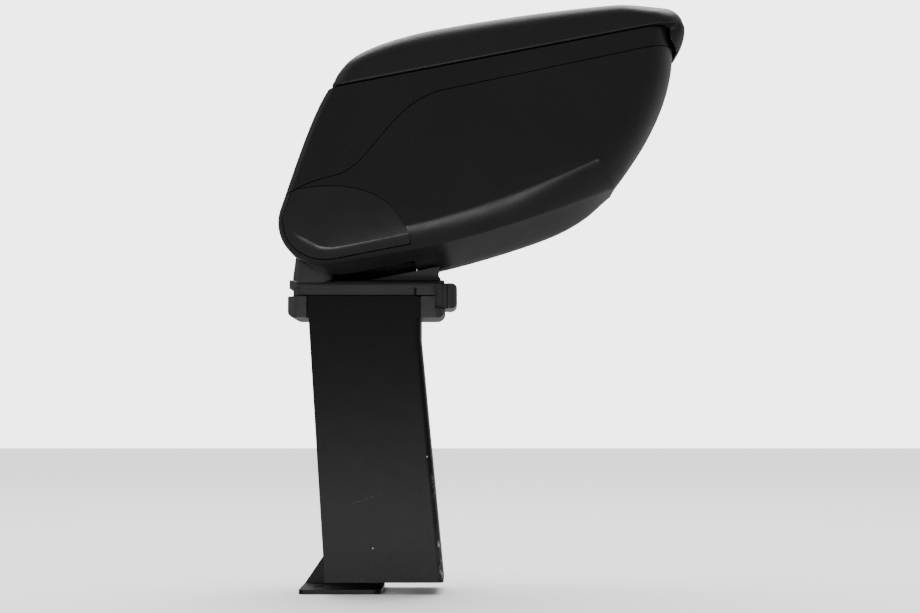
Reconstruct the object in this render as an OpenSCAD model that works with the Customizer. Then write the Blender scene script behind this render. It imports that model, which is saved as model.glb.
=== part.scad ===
// Car centre armrest: a lidded storage body that tilts on a plastic pedestal,
// which is carried by a tall folded-steel leg with a foot flange.
// Millimetres. X points forward, Y away from the near side, Z up.
// The origin is the centre of the two foot bolts, on the underside of the foot.
// The armrest is drawn level, with its tilt pivot at its own origin, and then placed.

/* [Steel leg] */
// Thickness of the folded sheet
sheet_t = 3.5; // [2.5:0.5:3.5]
// Width over the two side plates
leg_w = 62; // [58:1:66]
// Height of the tops of the side plates
leg_h = 226.5; // [215:1:250]
// Front to back depth of a side plate at its foot
leg_d = 89.9; // [86:1:96]
// Height of the lower edge of the side plates
plate_z = 9; // [7:0.5:12]
// How far the rear edge stands behind the bolts, at the foot
leg_back = 11.3; // [8:1:14]
// Lean of the rear edge from upright, in degrees
rear_lean = 3.85; // [3:0.05:5]
// Lean of the front bend from upright, in degrees
front_lean = 5.5; // [5:0.1:6]
// How far below the plates' tops the leaning front bend becomes upright
upright_drop = 32.2; // [26:0.2:46]
// Outer radius of the front bends
bend_r = 5; // [4:0.5:8]
// Radius of the exposed plate corners
plate_corner_r = 4; // [1:0.5:6]

/* [Foot] */
// Length of the foot flange
foot_l = 63; // [56:1:70]
// Gap between the flange's free edge and the near plate's outer face
foot_inset = 3; // [1:0.5:8]
// Height at which the flared web of the foot starts
flare_h = 31; // [20:1:45]
// Diameter of the foot bolt holes
bolt_d = 8.5; // [6:0.1:10]
// Distance between the foot bolts
bolt_gap = 36; // [26:1:40]

/* [Pedestal] */
// Height of the collar that is clamped between the plates
collar_h = 16.6; // [14:0.2:20]
// Rear face of the collar behind the bolts
collar_back = 41.5; // [40:0.5:48]
// Front face of the collar ahead of the bolts
collar_front = 79.5; // [76:0.5:84]
// How far the collar's end blocks stand out past the side plates
collar_proud = 1.5; // [0.5:0.5:4]
// Shadow gap between the collar and the housing
seam_gap = 0.8; // [0.4:0.1:1.2]
// Height of the tucked-in band under the deck
tuck_h = 5.7; // [4:0.5:8]
// How far that band is set in from the deck
tuck_in = 3; // [1:0.5:6]
// Thickness of the deck
deck_h = 6; // [5:0.5:8]
// Front face of the deck ahead of the bolts
deck_front = 79; // [76:0.5:84]
// Radius of the upright corners of the pedestal
pedestal_r = 10; // [6:0.5:14]
// Length of the tower that carries the pivot
tower_l = 31.7; // [27:0.5:34]
// Radius of the tower's head about the pivot
tower_r = 17; // [14:0.5:19]
// Width of the rest block under the storage body
rest_w = 36; // [24:1:44]
// Wall of the housing where it is hollow
housing_wall = 4; // [3:0.5:6]

/* [Release button] */
// Width of the button
button_w = 48; // [36:1:50]
// Height of the button
button_h = 19.6; // [16:0.2:22]
// Nose of the button ahead of the bolts
button_front = 88.8; // [84:0.2:94]
// How far the button travels when pressed
button_travel = 4; // [2:0.5:5]
// Wire diameter of the button's spring
spring_wire = 1; // [0.8:0.1:1.2]

/* [Pivot] */
// Pivot behind the foot bolts
pivot_back = 15.7; // [14:0.1:18]
// Height of the pivot above the deck
pivot_rise = 40.4; // [38:0.1:45]
// Rest angle of the armrest above level, in degrees
tilt = 11; // [9:0.5:13]
// Diameter of the pivot bolt
pivot_d = 8; // [6:0.5:10]
// Outer diameter of the pivot bushes
bush_d = 14; // [12:0.5:18]

/* [Storage body] */
// Width of the storage body
body_w = 130; // [120:1:140]
// Wall of the two shells
shell_t = 3; // [2.5:0.1:3.5]
// Front face of the body ahead of the pivot
body_front = 295; // [280:0.5:315]
// Height of the body's rim above the pivot
body_top = 97.5; // [93:0.5:103]
// Depth of the lower side edges below the pivot
keel = 33; // [31:0.2:34]
// How far the middle of the underside hangs below those edges
belly = 16; // [8:0.5:18]
// Radius of the rounded rear end about the pivot
heel_r = 30; // [28:0.2:31]
// Edge rounding along the rear wall
rear_round = 7; // [5:0.5:9]
// Edge rounding beside the pivot
heel_round = 16; // [12:0.5:18]
// Edge rounding along the underside
keel_round = 18; // [14:0.5:20]
// How far the front face bows out between its sides
bow = 26; // [16:0.5:30]
// How far in from the sides the front face starts to bow back
bow_depth = 58; // [40:1:60]
// Gap of the visible seams between the mouldings
seam = 0.6; // [0.3:0.1:0.8]
// Thickness of the pivot caps
cap_t = 2.4; // [2:0.1:2.8]
// Margin between the pivot caps and the body's outline
cap_margin = 4.5; // [3.5:0.1:6]

/* [Tray] */
// Wall of the tray
tray_t = 2; // [1.6:0.1:2.6]
// Thickness of the tray's floor
tray_floor = 3.2; // [3:0.1:4]
// Room from the tray's side to the body's outer side
tray_side = 12; // [11:0.5:17]
// Depth of the tray's underside below the pivot
tray_depth = 20; // [14:1:21]
// Thickness of the mat
mat_t = 1.5; // [1:0.1:3]

/* [Lid] */
// How far the lid stands out past each side of the body
lid_over = 1; // [-4:0.5:6]
// Height of the padding's crown over its edges
lid_crown = 3; // [1:0.5:6]
// Thickness of the padding at its thickest edge
lid_h = 28; // [24:0.5:34]
// How far the lid reaches past the body's front
lid_reach = 11.5; // [9:0.5:15]
// Gap between the body's rim and the padding
lid_gap = 1; // [0.6:0.1:2]
// Thickness of the hard base under the padding
lid_base_t = 2.8; // [2.4:0.1:3.2]
// Width of the finger lip
lip_w = 100; // [80:1:104]
// Diameter of the lid's hinge pin
hinge_d = 3; // [2.5:0.1:3.4]
// Radius of the hinge knuckles
knuckle_r = 4; // [3.4:0.1:4.4]
// Length of one hinge knuckle
knuckle_l = 20; // [16:1:22]

/* [Hidden] */

far = 400;
eps = 0.01;
run_fit = 0.05;
slide_fit = 0.3;
smooth = 64;
$fn = 48;

plastic = [0.11, 0.11, 0.115];
plastic_b = [0.13, 0.13, 0.135];
painted = [0.09, 0.09, 0.095];
vinyl = [0.12, 0.12, 0.125];
zinc = [0.72, 0.72, 0.7];
soft_black = [0.06, 0.06, 0.06];

// Leg
upright_z = leg_h - upright_drop;
front_x_top = -leg_back + leg_d - (upright_z - plate_z) * tan(front_lean);
collar_z = leg_h - collar_h;
shelf_z = collar_z - sheet_t;
leg_in = leg_w / 2 - sheet_t;
foot_near = -leg_w / 2 + foot_inset;
shelf_back = -12;
bend_steps = 6;

// Pedestal
collar_w = leg_w + 2 * collar_proud;
pocket_fit = 0.2;
housing_z = leg_h + seam_gap;
tuck_top = housing_z + tuck_h;
deck_top = tuck_top + deck_h;
pivot_z = deck_top + pivot_rise;
tower_back = collar_back - 3.5;
tower_front = tower_back - tower_l;
deck_round = 5;
bottom_round = 6;
spigot_w = 36;
spigot_l = [24, 44];
collar_floor = 5;
spigot_h = housing_z - collar_z - collar_floor;
screw_x = [0, 36];
screw_d = 5;
block_front = deck_front - 3;
block_z = deck_top - 2;
block_step = 7;
pad_t = 2;
pad_gap = 0.4;
cavity_h = 24;

// Button
button_l = 26.8;
button_back = button_front - button_l;
button_z = deck_top - 2 - button_h;
button_gap = 0.3;
mouth_x = deck_front - 7;
pocket_x = button_back - button_travel - 2;
spring_r = 3.2;
spring_z = housing_z + spring_r + 1.6;
spring_seat = 6;
spring_turns = 6;
groove_w = 3.8;

// Pivot
cheek_y = leg_w / 2 - 1;
bush_l = 14;
bush_flange = 2;
washer_t = 1.5;
washer_y = cheek_y + bush_flange + slide_fit;
boss_y = washer_y + washer_t;
boss_r = 12;
head_h = 5.2;
head_r = 7.5;

// Storage body, drawn level about the pivot
rear_top = [26.3, body_top];
heel_up = 151;
heel_down = 229;
slot_from = 132;
slot_to = 281;
slot_w = leg_w + 3;
rim_y = body_w / 2;
tray_rim_z = body_top - 4;
tray_front = body_front - 20;
tray_round = 12;
tray_w = body_w - 2 * tray_side;
slot_front = 66;
seat_d = [0.8, cap_t + 2.8];
seat_rim = 2.2;
cap_fit = 0.25;
seat_gap = 0.2;
post_x = [92, 150];
post_y = rim_y - 29;
post_r = 4.5;
post_hole = 8;
tray_screw_d = 2.6;

// Lid
pin_at = [33.5, body_top + 3.5];
hinge_clear = 1.4;
lid_w = body_w + 2 * lid_over;
lid_z = body_top + lid_gap;
lid_back = 29.2;
lid_nose = body_front + lid_reach;
lid_base_z = lid_z - 0.1 - lid_base_t;
lid_base_x = [44, body_front - 12];
lid_base_r = 30;
lid_base_in = 5;
lid_screw_x = [lid_base_x[0] + 36, lid_base_x[1] - 43];
lid_screw_y = rim_y - 23;
buffer_y = rim_y - 31;
mat_x = [68, 154];
mat_in = 17;
mat_r = 6;

function unit(v) = v / norm(v);
function arc(r, a, b, n) = [for (i = [0 : n]) let (t = a + (b - a) * i / n) r * [cos(t), sin(t)]];
// Points of a cubic curve, without its last point
function curve(a, b, c, d, n) = [for (i = [0 : n - 1]) let (t = i / n, s = 1 - t)
    s * s * s * a + 3 * s * s * t * b + 3 * s * t * t * c + t * t * t * d];
// Outward directions along a counter-clockwise path, level at its two ends
function outward(p) = [for (i = [0 : len(p) - 1])
    i == 0 ? unit(p[0] - p[len(p) - 1]) :
    i == len(p) - 1 ? unit(p[i] - p[0]) :
    let (d = unit(p[i + 1] - p[i - 1])) [d[1], -d[0]]];
function inset(p, n, d) = [for (i = [0 : len(p) - 1]) p[i] - n[i] * d];
function part(p, a, b) = [for (i = [a : b]) p[i]];

// Side outline of the body: down the rear wall, round the heel, along the underside, up the nose
heel_start = heel_r * [cos(heel_up), sin(heel_up)];
heel_end = heel_r * [cos(heel_down), sin(heel_down)];
keel_start = [12, -keel];
keel_end = [70, -keel];
nose_low = [body_front - 69, -keel + 19];
nose_top = [body_front, body_top];
rear_curve = curve(rear_top, [9.5, 80], [-12.5, 38], heel_start, 7);
heel_curve = part(arc(heel_r, heel_up, heel_down, 6), 0, 5);
heel_to_keel = curve(heel_end, heel_end + [9, -8], [-2, -keel], keel_start, 4);
keel_to_nose = curve(keel_end, keel_end + [50, 0], nose_low - [36, 8.5], nose_low, 10);
nose_curve = curve(nose_low, nose_low + [21, 16.5], nose_top - [0, 49.5], nose_top, 9);
body_path = concat(rear_curve, heel_curve, heel_to_keel, [keel_start], keel_to_nose,
    nose_curve, [nose_top]);
body_out = outward(body_path);
heel_last = len(rear_curve) + len(heel_curve) + len(heel_to_keel) + 1;
nose_first = heel_last + len(keel_to_nose);
body_last = len(body_path) - 1;
function body_round(i) = lookup(i, [[0, rear_round], [len(rear_curve), rear_round],
    [heel_last - 4, heel_round], [heel_last, keel_round], [nose_first, bow - 2], [body_last, bow]]);
function body_deep(i) = lookup(i, [[0, rear_round], [len(rear_curve), rear_round],
    [heel_last - 4, heel_round - 2], [heel_last, 12], [heel_last + 5, 13], [nose_first - 3, 20],
    [nose_first, 34], [nose_first + 4, bow_depth - 6], [body_last, bow_depth]]);
// How far the middle of the body hangs below a point of its side outline
function hang(p) = p[1] > -12 ? 0 : belly * lookup(p[0] / nose_low[0], [[-0.11, 0], [0.04, 1],
    [0.75, 0.97], [0.81, 0.92], [0.87, 0.79], [0.93, 0.55], [0.965, 0.34], [1, 0]]);

// Seam between the two shells, and the outline of a pivot cap
seam_low = curve([-40, 15], [-14, 29.5], [4, 31.5], [20, 32], 6);
seam_mid = curve([20, 32], [47, 32.5], [70, 79.5], [112, 80], 12);
seam_end = [body_front + 20, 83.6];
seam_path = concat(seam_low, seam_mid, [[112, 80], seam_end]);
cap_top = concat(curve([-40, 25], [20, 33], [60, 17], [65.5, -23], 14), [[65.5, -23]]);
cap_foot = 2.2 - keel;
cap_nose = 65.5;

module side(w) {
    rotate([90, 0, 0]) linear_extrude(w, center = true) children();
}
module near_side(from, to) {
    translate([0, -from, 0]) rotate([90, 0, 0]) linear_extrude(to - from) children();
}
module armrest() {
    translate([-pivot_back, 0, pivot_z]) rotate([0, -tilt, 0]) children();
}
module cross_pin(r, from, to) {
    translate([0, from, 0]) rotate([-90, 0, 0]) cylinder(r = r, h = to - from, $fn = smooth);
}
module round_rect(x0, x1, w, r) {
    for (x = [x0 + r, x1 - r], y = [-1, 1] * (w / 2 - r)) translate([x, y]) circle(r, $fn = smooth);
    translate([x0 + r, -w / 2]) square([x1 - x0 - 2 * r, w]);
    translate([x0, -w / 2 + r]) square([x1 - x0, w - 2 * r]);
}
// What a rounded corner takes away; the corner is at the origin and points to +X +Y
module corner_waste(r) {
    difference() {
        translate([-r, -r]) square(2 * r);
        translate([-r, -r]) circle(r, $fn = smooth);
        translate([-r - 1, -far]) square([1, 2 * far]);
        translate([-far, -r - 1]) square([2 * far, 1]);
    }
}

// A slab whose edges roll over towards its two flat sides: an open outline, closed by a flat.
// take[i] is how far point i draws in at the sides, deep[i] how far in from the sides it starts to,
// and swell[i] is how far the slab's middle stands out there, as a ridge or as a soft crown.
module slab(path, take, deep, w, swell = [], roll = 4, mids = 0, ridge = false) {
    n = len(path);
    last = 2 * roll + mids + 1;
    function share(y, i) = ridge ? max(0, 1 - abs(y) / (w / 2 - deep[i])) : 1 - pow(2 * y / w, 2);
    function row(i, k) =
        let (s = k <= roll ? -1 : 1, j = k <= roll ? roll - k : k - roll - mids - 1,
            mid = k > roll && k <= roll + mids,
            a = mid ? 0 : 90 * j / roll,
            y = mid ? (w / 2 - deep[i]) * (2 * (k - roll) / (mids + 1) - 1)
                : s * (w / 2 - deep[i] + deep[i] * sin(a)),
            q = path[i] - take[i] * (1 - cos(a)) + (len(swell) > 0 ? swell[i] * share(y, i) : [0, 0]))
        [q[0], y, q[1]];
    points = [for (i = [0 : n - 1], k = [0 : last]) row(i, k)];
    function at(i, k) = i * (last + 1) + k;
    rolled = [for (i = [0 : n - 2], k = [0 : last - 1]) if (k != roll || mids > 0)
        each [[at(i, k), at(i + 1, k), at(i + 1, k + 1)], [at(i, k), at(i + 1, k + 1), at(i, k + 1)]]];
    plain = [for (i = [0 : n - 2]) if (mids == 0)
        each [[at(i, roll), at(i + 1, roll), at(i + 1, roll + 1)],
            [at(i, roll), at(i + 1, roll + 1), at(i, roll + 1)]]];
    near_face = [[for (i = [n - 1 : -1 : 0]) at(i, 0)]];
    far_face = [[for (i = [0 : n - 1]) at(i, last)]];
    closing = [concat([for (k = [0 : last]) at(0, k)], [for (k = [last : -1 : 0]) at(n - 1, k)])];
    polyhedron(points, concat(rolled, plain, near_face, far_face, closing));
}
module body_slab(d, over = 0) {
    path = inset(body_path, body_out, d);
    n = len(path);
    raised = [for (i = [0 : n - 1]) path[i] + [0, i == 0 || i == n - 1 ? over : 0]];
    take = [for (i = [0 : n - 1]) body_out[i] * (body_round(i) - d)];
    deep = [for (i = [0 : n - 1]) body_deep(i) - d];
    swell = [for (p = body_path) [0, -hang(p)]];
    slab(raised, take, deep, body_w - 2 * d, swell, 4, 1, true);
}
// The same skin round the heel only
module heel_slab(d) {
    a = 2;
    b = heel_last + 1;
    path = part(inset(body_path, body_out, d), a, b);
    chord = unit(path[0] - path[b - a]);
    take = [for (i = [a : b]) (i == a ? chord : i == b ? -chord : body_out[i]) * (body_round(i) - d)];
    slab(path, take, [for (i = [a : b]) body_deep(i) - d], body_w - 2 * d);
}

// Steel leg
function back_x(z) = -leg_back - (z - plate_z) * tan(rear_lean);
function front_x(z) = -leg_back + leg_d - (min(z, upright_z) - plate_z) * tan(front_lean);
// The plan of the folded sheet's outside or inside at one height, with both bends
function plan(z, x0, inner) = let (r = bend_r - inner, c = leg_w / 2 - bend_r) concat([[x0, -c - r]],
    [for (k = [0 : bend_steps]) [front_x(z) - bend_r, -c] + r * [sin(90 * k / bend_steps),
        -cos(90 * k / bend_steps)]],
    [for (k = [0 : bend_steps]) [front_x(z) - bend_r, c] + r * [cos(90 * k / bend_steps),
        sin(90 * k / bend_steps)]],
    [[x0, c + r]]);
module loft(heights, rings) {
    n = len(rings[0]);
    top = len(heights) - 1;
    points = [for (i = [0 : top], q = rings[i]) [q[0], q[1], heights[i]]];
    function at(i, k) = i * n + k % n;
    walls = [for (i = [0 : top - 1], k = [0 : n - 1])
        [at(i, k), at(i + 1, k), at(i + 1, k + 1), at(i, k + 1)]];
    polyhedron(points, concat(walls, [[for (k = [0 : n - 1]) k]], [[for (k = [n - 1 : -1 : 0]) at(top,
        k)]]));
}
module channel() {
    outside = [plate_z, upright_z, collar_z];
    inside = [plate_z - 1, upright_z, shelf_z];
    difference() {
        loft(outside, [for (z = outside) plan(z, back_x(z), 0)]);
        loft(inside, [for (z = inside) plan(z, -leg_d, sheet_t)]);
        translate([-2 * leg_d, -leg_in, shelf_z - 1]) cube([2 * leg_d + shelf_back, 2 * leg_in,
            sheet_t + 2]);
    }
}
module leg_bracket() {
    foot_x = foot_l / 2;
    color(painted) difference() {
        union() {
            channel();
            for (m = [0, 1]) mirror([0, m, 0]) near_side(leg_in, leg_w / 2) difference() {
                polygon([[back_x(collar_z), collar_z], [front_x_top, collar_z], [front_x_top, leg_h],
                    [back_x(leg_h), leg_h]]);
                translate([front_x_top, leg_h]) corner_waste(plate_corner_r);
            }
            foot_flange(foot_x);
        }
        for (x = [-1, 1] * bolt_gap / 2) translate([x, 0, -1]) cylinder(d = bolt_d, h = sheet_t + 2,
            $fn = smooth);
        for (x = screw_x) translate([x, 0, shelf_z - 1]) cylinder(d = screw_d + 0.4, h = sheet_t + 2);
    }
}
module foot_flange(foot_x) {
    intersection() {
        side(leg_w) polygon([[-foot_x, 0], [foot_x, 0], [foot_x, plate_z + 1],
            [back_x(flare_h) + 1, flare_h], [back_x(flare_h), flare_h], [-foot_x, sheet_t]]);
        rotate([90, 0, 90]) linear_extrude(2 * far, center = true) difference() {
            translate([foot_near, 0]) square([leg_w / 2 - foot_near, flare_h]);
            translate([foot_near - 1, sheet_t]) square([leg_in - foot_near + 1, flare_h]);
            translate([leg_w / 2, 0]) mirror([0, 1]) corner_waste(bend_r);
        }
        linear_extrude(far) difference() {
            translate([-foot_x, foot_near]) square([2 * foot_x, leg_w]);
            translate([foot_x, foot_near]) mirror([0, 1]) corner_waste(2 * plate_corner_r);
            translate([-foot_x, foot_near]) mirror([1, 0]) mirror([0, 1]) corner_waste(plate_corner_r);
        }
    }
}

// Collar, clamped between the plates
module base_collar() {
    z1 = leg_h;
    color(plastic) difference() {
        intersection() {
            translate([0, 0, collar_z]) linear_extrude(collar_h)
                round_rect(-collar_back, collar_front, collar_w, pedestal_r);
            side(far) difference() {
                translate([-collar_back, collar_z]) square([collar_back + collar_front, collar_h]);
                translate([-collar_back, collar_z]) rotate(180) corner_waste(bottom_round);
                translate([collar_front, collar_z]) mirror([0, 1]) corner_waste(bottom_round);
            }
        }
        for (y = [-1, 1]) translate([back_x(z1) - pocket_fit,
            y > 0 ? leg_in - pocket_fit : -far - leg_in + pocket_fit, 0])
            cube([front_x_top - back_x(z1) + 2 * pocket_fit, far, far]);
        translate([-spigot_l[0] - slide_fit, -spigot_w / 2 - slide_fit, collar_z + collar_floor])
            cube([spigot_l[0] + spigot_l[1] + 2 * slide_fit, spigot_w + 2 * slide_fit, collar_h]);
        translate([pocket_x, -button_w / 2 - button_gap, button_z - button_gap]) cube([far,
            button_w + 2 * button_gap, far]);
        mouth(button_z - button_gap);
        for (x = screw_x) translate([x, 0, collar_z - 1]) cylinder(d = screw_d + 2 * run_fit, h = collar_h);
    }
}
module collar_screws() {
    color(zinc) for (x = screw_x) translate([x, 0, 0]) {
        translate([0, 0, shelf_z]) cylinder(d = screw_d, h = sheet_t + collar_floor - slide_fit);
        translate([0, 0, shelf_z - 3]) difference() {
            cylinder(d = 2 * screw_d, h = 3);
            translate([0, 0, -1]) cylinder(d = 3, h = 2.5, $fn = 6);
        }
    }
}

// Housing: tucked-in band, deck, pivot tower and rest block
module base_housing() {
    side_w = leg_w;
    color(plastic_b) difference() {
        union() {
            translate([0, 0, housing_z]) linear_extrude(tuck_h)
                round_rect(-collar_back + tuck_in + 1, front_x_top, side_w - 2 * tuck_in,
                    pedestal_r - tuck_in);
            intersection() {
                translate([0, 0, housing_z]) linear_extrude(deck_top - housing_z)
                    round_rect(-collar_back + 1, deck_front, side_w, pedestal_r);
                rotate([90, 0, 90]) linear_extrude(2 * far, center = true) difference() {
                    translate([-side_w / 2, housing_z]) square([side_w, deck_top - housing_z]);
                    for (m = [0, 1]) mirror([m, 0]) translate([side_w / 2, deck_top])
                        corner_waste(deck_round);
                }
                side(far) polygon([[-collar_back, tuck_top], [front_x_top - 3, tuck_top],
                    [front_x_top - 3, housing_z],
                    [deck_front, housing_z], [deck_front, deck_top], [-collar_back, deck_top]]);
            }
            intersection() {
                translate([0, 0, tuck_top]) linear_extrude(far)
                    round_rect(-tower_back, -tower_front, 2 * cheek_y, pedestal_r - 1);
                side(far) union() {
                    translate([-pivot_back, pivot_z]) circle(tower_r, $fn = smooth);
                    polygon([[-tower_back, tuck_top], [-tower_front, tuck_top], [-tower_front, pivot_z],
                        [-pivot_back - tower_r * cos(15), pivot_z - tower_r * sin(15)],
                            [-tower_back + 0.5, deck_top + 2]]);
                }
            }
            rest_block();
            translate([-spigot_l[0], -spigot_w / 2, housing_z - spigot_h])
                cube([spigot_l[0] + spigot_l[1], spigot_w, spigot_h + 1]);
        }
        translate([-pivot_back, 0, pivot_z]) cross_pin(bush_d / 2 + run_fit, -far, far);
        translate([-tower_back + housing_wall, -cheek_y + housing_wall, housing_z - 1])
            cube([tower_l - 2 * housing_wall, 2 * (cheek_y - housing_wall), cavity_h]);
        translate([pocket_x, -button_w / 2 - button_gap, housing_z - far])
            cube([far, button_w + 2 * button_gap, far + button_z + button_h + button_gap - housing_z]);
        mouth(-eps);
        translate([pocket_x - spring_seat, 0, spring_z]) rotate([0, 90, 0]) cylinder(r = spring_r + 1.2,
            h = far);
    }
}
// The front of the pedestal is cut back beside the button, up to the roof over it
module mouth(z0) {
    translate([mouth_x, -far / 2, z0]) cube([far, far, button_z + button_h + button_gap - z0]);
}
// The keel is met by a shallow vee, which holds the body square when it is down
module cradle(from, to, low, half) {
    rise = half * belly / (body_w / 2 - 12);
    armrest() translate([from, 0, -keel - belly]) rotate([90, 0, 90]) linear_extrude(to - from)
        polygon([[-half, rise], [0, 0], [half, rise], [half, low], [-half, low]]);
}
module rest_block() {
    r = block_step;
    intersection() {
        side(rest_w) difference() {
            translate([-tower_front - 1, block_z]) square([block_front + tower_front + 1, 3 * r]);
            translate([block_front + r - 2, deck_top + r]) circle(r, $fn = smooth);
        }
        translate([0, 0, -pad_t - pad_gap]) cradle(-40, 140, -60, rest_w / 2);
    }
}
module rest_pad() {
    from = slot_front + 2;
    color(soft_black) difference() {
        translate([0, 0, -pad_gap]) cradle(from, from + 14, -pad_t - 4, rest_w / 2 - 4);
        translate([0, 0, -pad_t - pad_gap + 0.02]) cradle(-40, 140, -60, rest_w / 2);
    }
}

// Release button, its spring
module release_button() {
    z1 = button_z + button_h;
    color(plastic) difference() {
        intersection() {
            translate([0, 0, button_z]) linear_extrude(button_h) round_rect(button_back, button_front,
                button_w, 7);
            side(far) difference() {
                translate([button_back, button_z]) square([button_front - button_back, button_h]);
                translate([button_front, z1]) corner_waste(4);
                translate([button_front, button_z]) mirror([0, 1]) corner_waste(5);
            }
        }
        for (y = [-1, 1]) translate([mouth_x + 5.4, y * button_w / 2 - 2, button_z - 1]) cube([groove_w,
            4, far]);
        translate([button_back - 1, 0, spring_z]) rotate([0, 90, 0])
            cylinder(r = spring_r + 1.2, h = spring_seat + 1);
    }
}
// A wire swept along a helix, closed at both ends
module coil(r, wire, length, turns, steps = 12, sides = 6) {
    total = turns * steps;
    points = [for (i = [0 : total], k = [0 : sides - 1])
        let (a = 360 * i / steps, b = 360 * k / sides, q = r + wire / 2 * cos(b))
        [length * i / total + wire / 2 * sin(b), q * cos(a), q * sin(a)]];
    function at(i, k) = i * sides + k % sides;
    walls = [for (i = [0 : total - 1], k = [0 : sides - 1])
        each [[at(i, k), at(i, k + 1), at(i + 1, k + 1)], [at(i, k), at(i + 1, k + 1), at(i + 1, k)]]];
    ends = [[for (k = [sides - 1 : -1 : 0]) at(0, k)], [for (k = [0 : sides - 1]) at(total, k)]];
    polyhedron(points, concat(walls, ends));
}
module button_spring() {
    x0 = pocket_x - spring_seat;
    x1 = button_back + spring_seat;
    gap = spring_wire / 2 + 0.1;
    color(zinc) translate([x0 + gap, 0, spring_z])
        coil(spring_r - spring_wire / 2, spring_wire, x1 - x0 - 2 * gap, spring_turns);
}

// Pivot hardware
module pivot_bushes() {
    color([0.5, 0.48, 0.42]) translate([-pivot_back, 0, pivot_z]) for (m = [0, 1]) mirror([0, m, 0])
        difference() {
        union() {
            cross_pin(bush_d / 2, cheek_y - bush_l, cheek_y);
            cross_pin(boss_r - 1, cheek_y, cheek_y + bush_flange);
        }
        cross_pin(pivot_d / 2 + run_fit, 0, far);
    }
}
module pivot_bolt() {
    y = boss_face();
    color(zinc) armrest() {
        cross_pin(pivot_d / 2, -y - eps, y + 0.8 * head_h);
        translate([0, -y, 0]) rotate([90, 0, 0]) cylinder(r = head_r, h = head_h, $fn = 6);
    }
}
function boss_face() = body_w / 2 - cap_t - 0.5 - head_h;
module pivot_nut() {
    y = boss_face();
    color(zinc) armrest() difference() {
        translate([0, y + head_h, 0]) rotate([90, 0, 0]) cylinder(r = head_r, h = head_h, $fn = 6);
        cross_pin(pivot_d / 2, 0, far);
    }
}
module pivot_washers() {
    color(zinc) armrest() for (m = [0, 1]) mirror([0, m, 0]) difference() {
        cross_pin(boss_r - 1.5, washer_y, washer_y + washer_t - 0.05);
        cross_pin(pivot_d / 2 + run_fit, 0, far);
    }
}

// Pivot caps
module cap_outline(grow) {
    rim = inset(body_path, body_out, cap_margin - grow);
    intersection() {
        polygon(rim);
        polygon(concat([for (p = cap_top) p + [0, grow]], [[cap_nose + grow, cap_foot + 4],
            [cap_nose - 3.5 + grow, cap_foot - grow],
            [-40, cap_foot - grow]]));
        polygon(concat([for (p = part(seam_path, 0, len(seam_path) - 1)) p - [0, seam - grow / 2]],
            [[body_front, -60], [-40, -60]]));
    }
}
module pivot_cap() {
    difference() {
        intersection() {
            heel_slab(0);
            near_side(rim_y - 20, rim_y + 1) cap_outline(0);
        }
        heel_slab(cap_t);
    }
}
module near_pivot_cap() {
    color(plastic) armrest() pivot_cap();
}
module far_pivot_cap() {
    color(plastic) armrest() mirror([0, 1, 0]) pivot_cap();
}

// Shells
module below_seam(d) {
    polygon(concat([for (p = seam_path) p - [0, d]], [[body_front + 20, -80], [-60, -80], [-60, 10]]));
}
module above_seam(d) {
    polygon(concat([for (p = seam_path) p + [0, d]], [[body_front + 20, 140], [-60, 140], [-60, 19]]));
}
module sector(a, b, r) {
    polygon(concat([[0, 0]], arc(r, a, b, 8)));
}
module shell_skin() {
    difference() {
        body_slab(0);
        body_slab(shell_t, 1);
    }
}
// The recess that a pivot cap drops into, on both sides
module cap_seats() {
    for (m = [0, 1]) mirror([0, m, 0]) difference() {
        intersection() {
            heel_slab(seat_d[0]);
            near_side(rim_y - 22, rim_y + 1) cap_outline(seat_rim);
        }
        heel_slab(seat_d[1]);
    }
}
module cap_recesses() {
    for (m = [0, 1]) mirror([0, m, 0]) difference() {
        near_side(rim_y - 21, rim_y + 2) cap_outline(cap_fit);
        heel_slab(cap_t + cap_fit);
    }
}
module tray_posts() {
    intersection() {
        body_slab(shell_t / 2);
        for (x = post_x, y = [-1, 1] * post_y) translate([x, y, -keel - belly])
            cylinder(r = post_r, h = keel + belly - tray_depth - seat_gap);
    }
}
module lower_shell() {
    boss_y1 = rim_y - cap_t - 1;
    color(plastic) armrest() difference() {
        intersection() {
            union() {
                shell_skin();
                cap_seats();
                tray_posts();
                for (m = [0, 1]) mirror([0, m, 0]) cross_pin(boss_r, boss_y, boss_y1);
            }
            side(far) below_seam(seam / 2);
        }
        cap_recesses();
        cross_pin(pivot_d / 2 + run_fit, -far, far);
        for (m = [0, 1]) mirror([0, m, 0]) cross_pin(head_r + 1.5, boss_face(), rim_y + 1);
        side(slot_w) union() {
            sector(slot_from, slot_to, slot_front);
            translate([-5, -keel - 30]) square([slot_front + 5, 34]);
        }
        for (x = post_x, y = [-1, 1] * post_y) translate([x, y, -tray_depth - post_hole])
            cylinder(d = tray_screw_d, h = far);
    }
}
module upper_shell() {
    color(plastic_b) armrest() difference() {
        union() {
            intersection() {
                shell_skin();
                side(far) above_seam(seam / 2);
            }
            hinge_row(false);
        }
        translate([pin_at[0], 0, pin_at[1]]) cross_pin(hinge_d / 2 + run_fit / 2, -far, far);
        for (span = lid_knuckles()) translate([pin_at[0], 0, pin_at[1]])
            cross_pin(knuckle_r + hinge_clear, span[0] - slide_fit, span[1] + slide_fit);
    }
}
function body_knuckles() = [for (k = [-2, 0, 2]) [k * knuckle_l - knuckle_l / 2,
    k * knuckle_l + knuckle_l / 2]];
function lid_knuckles() = [for (k = [-1, 1]) [k * knuckle_l - knuckle_l / 2 + slide_fit,
    k * knuckle_l + knuckle_l / 2 - slide_fit]];
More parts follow.
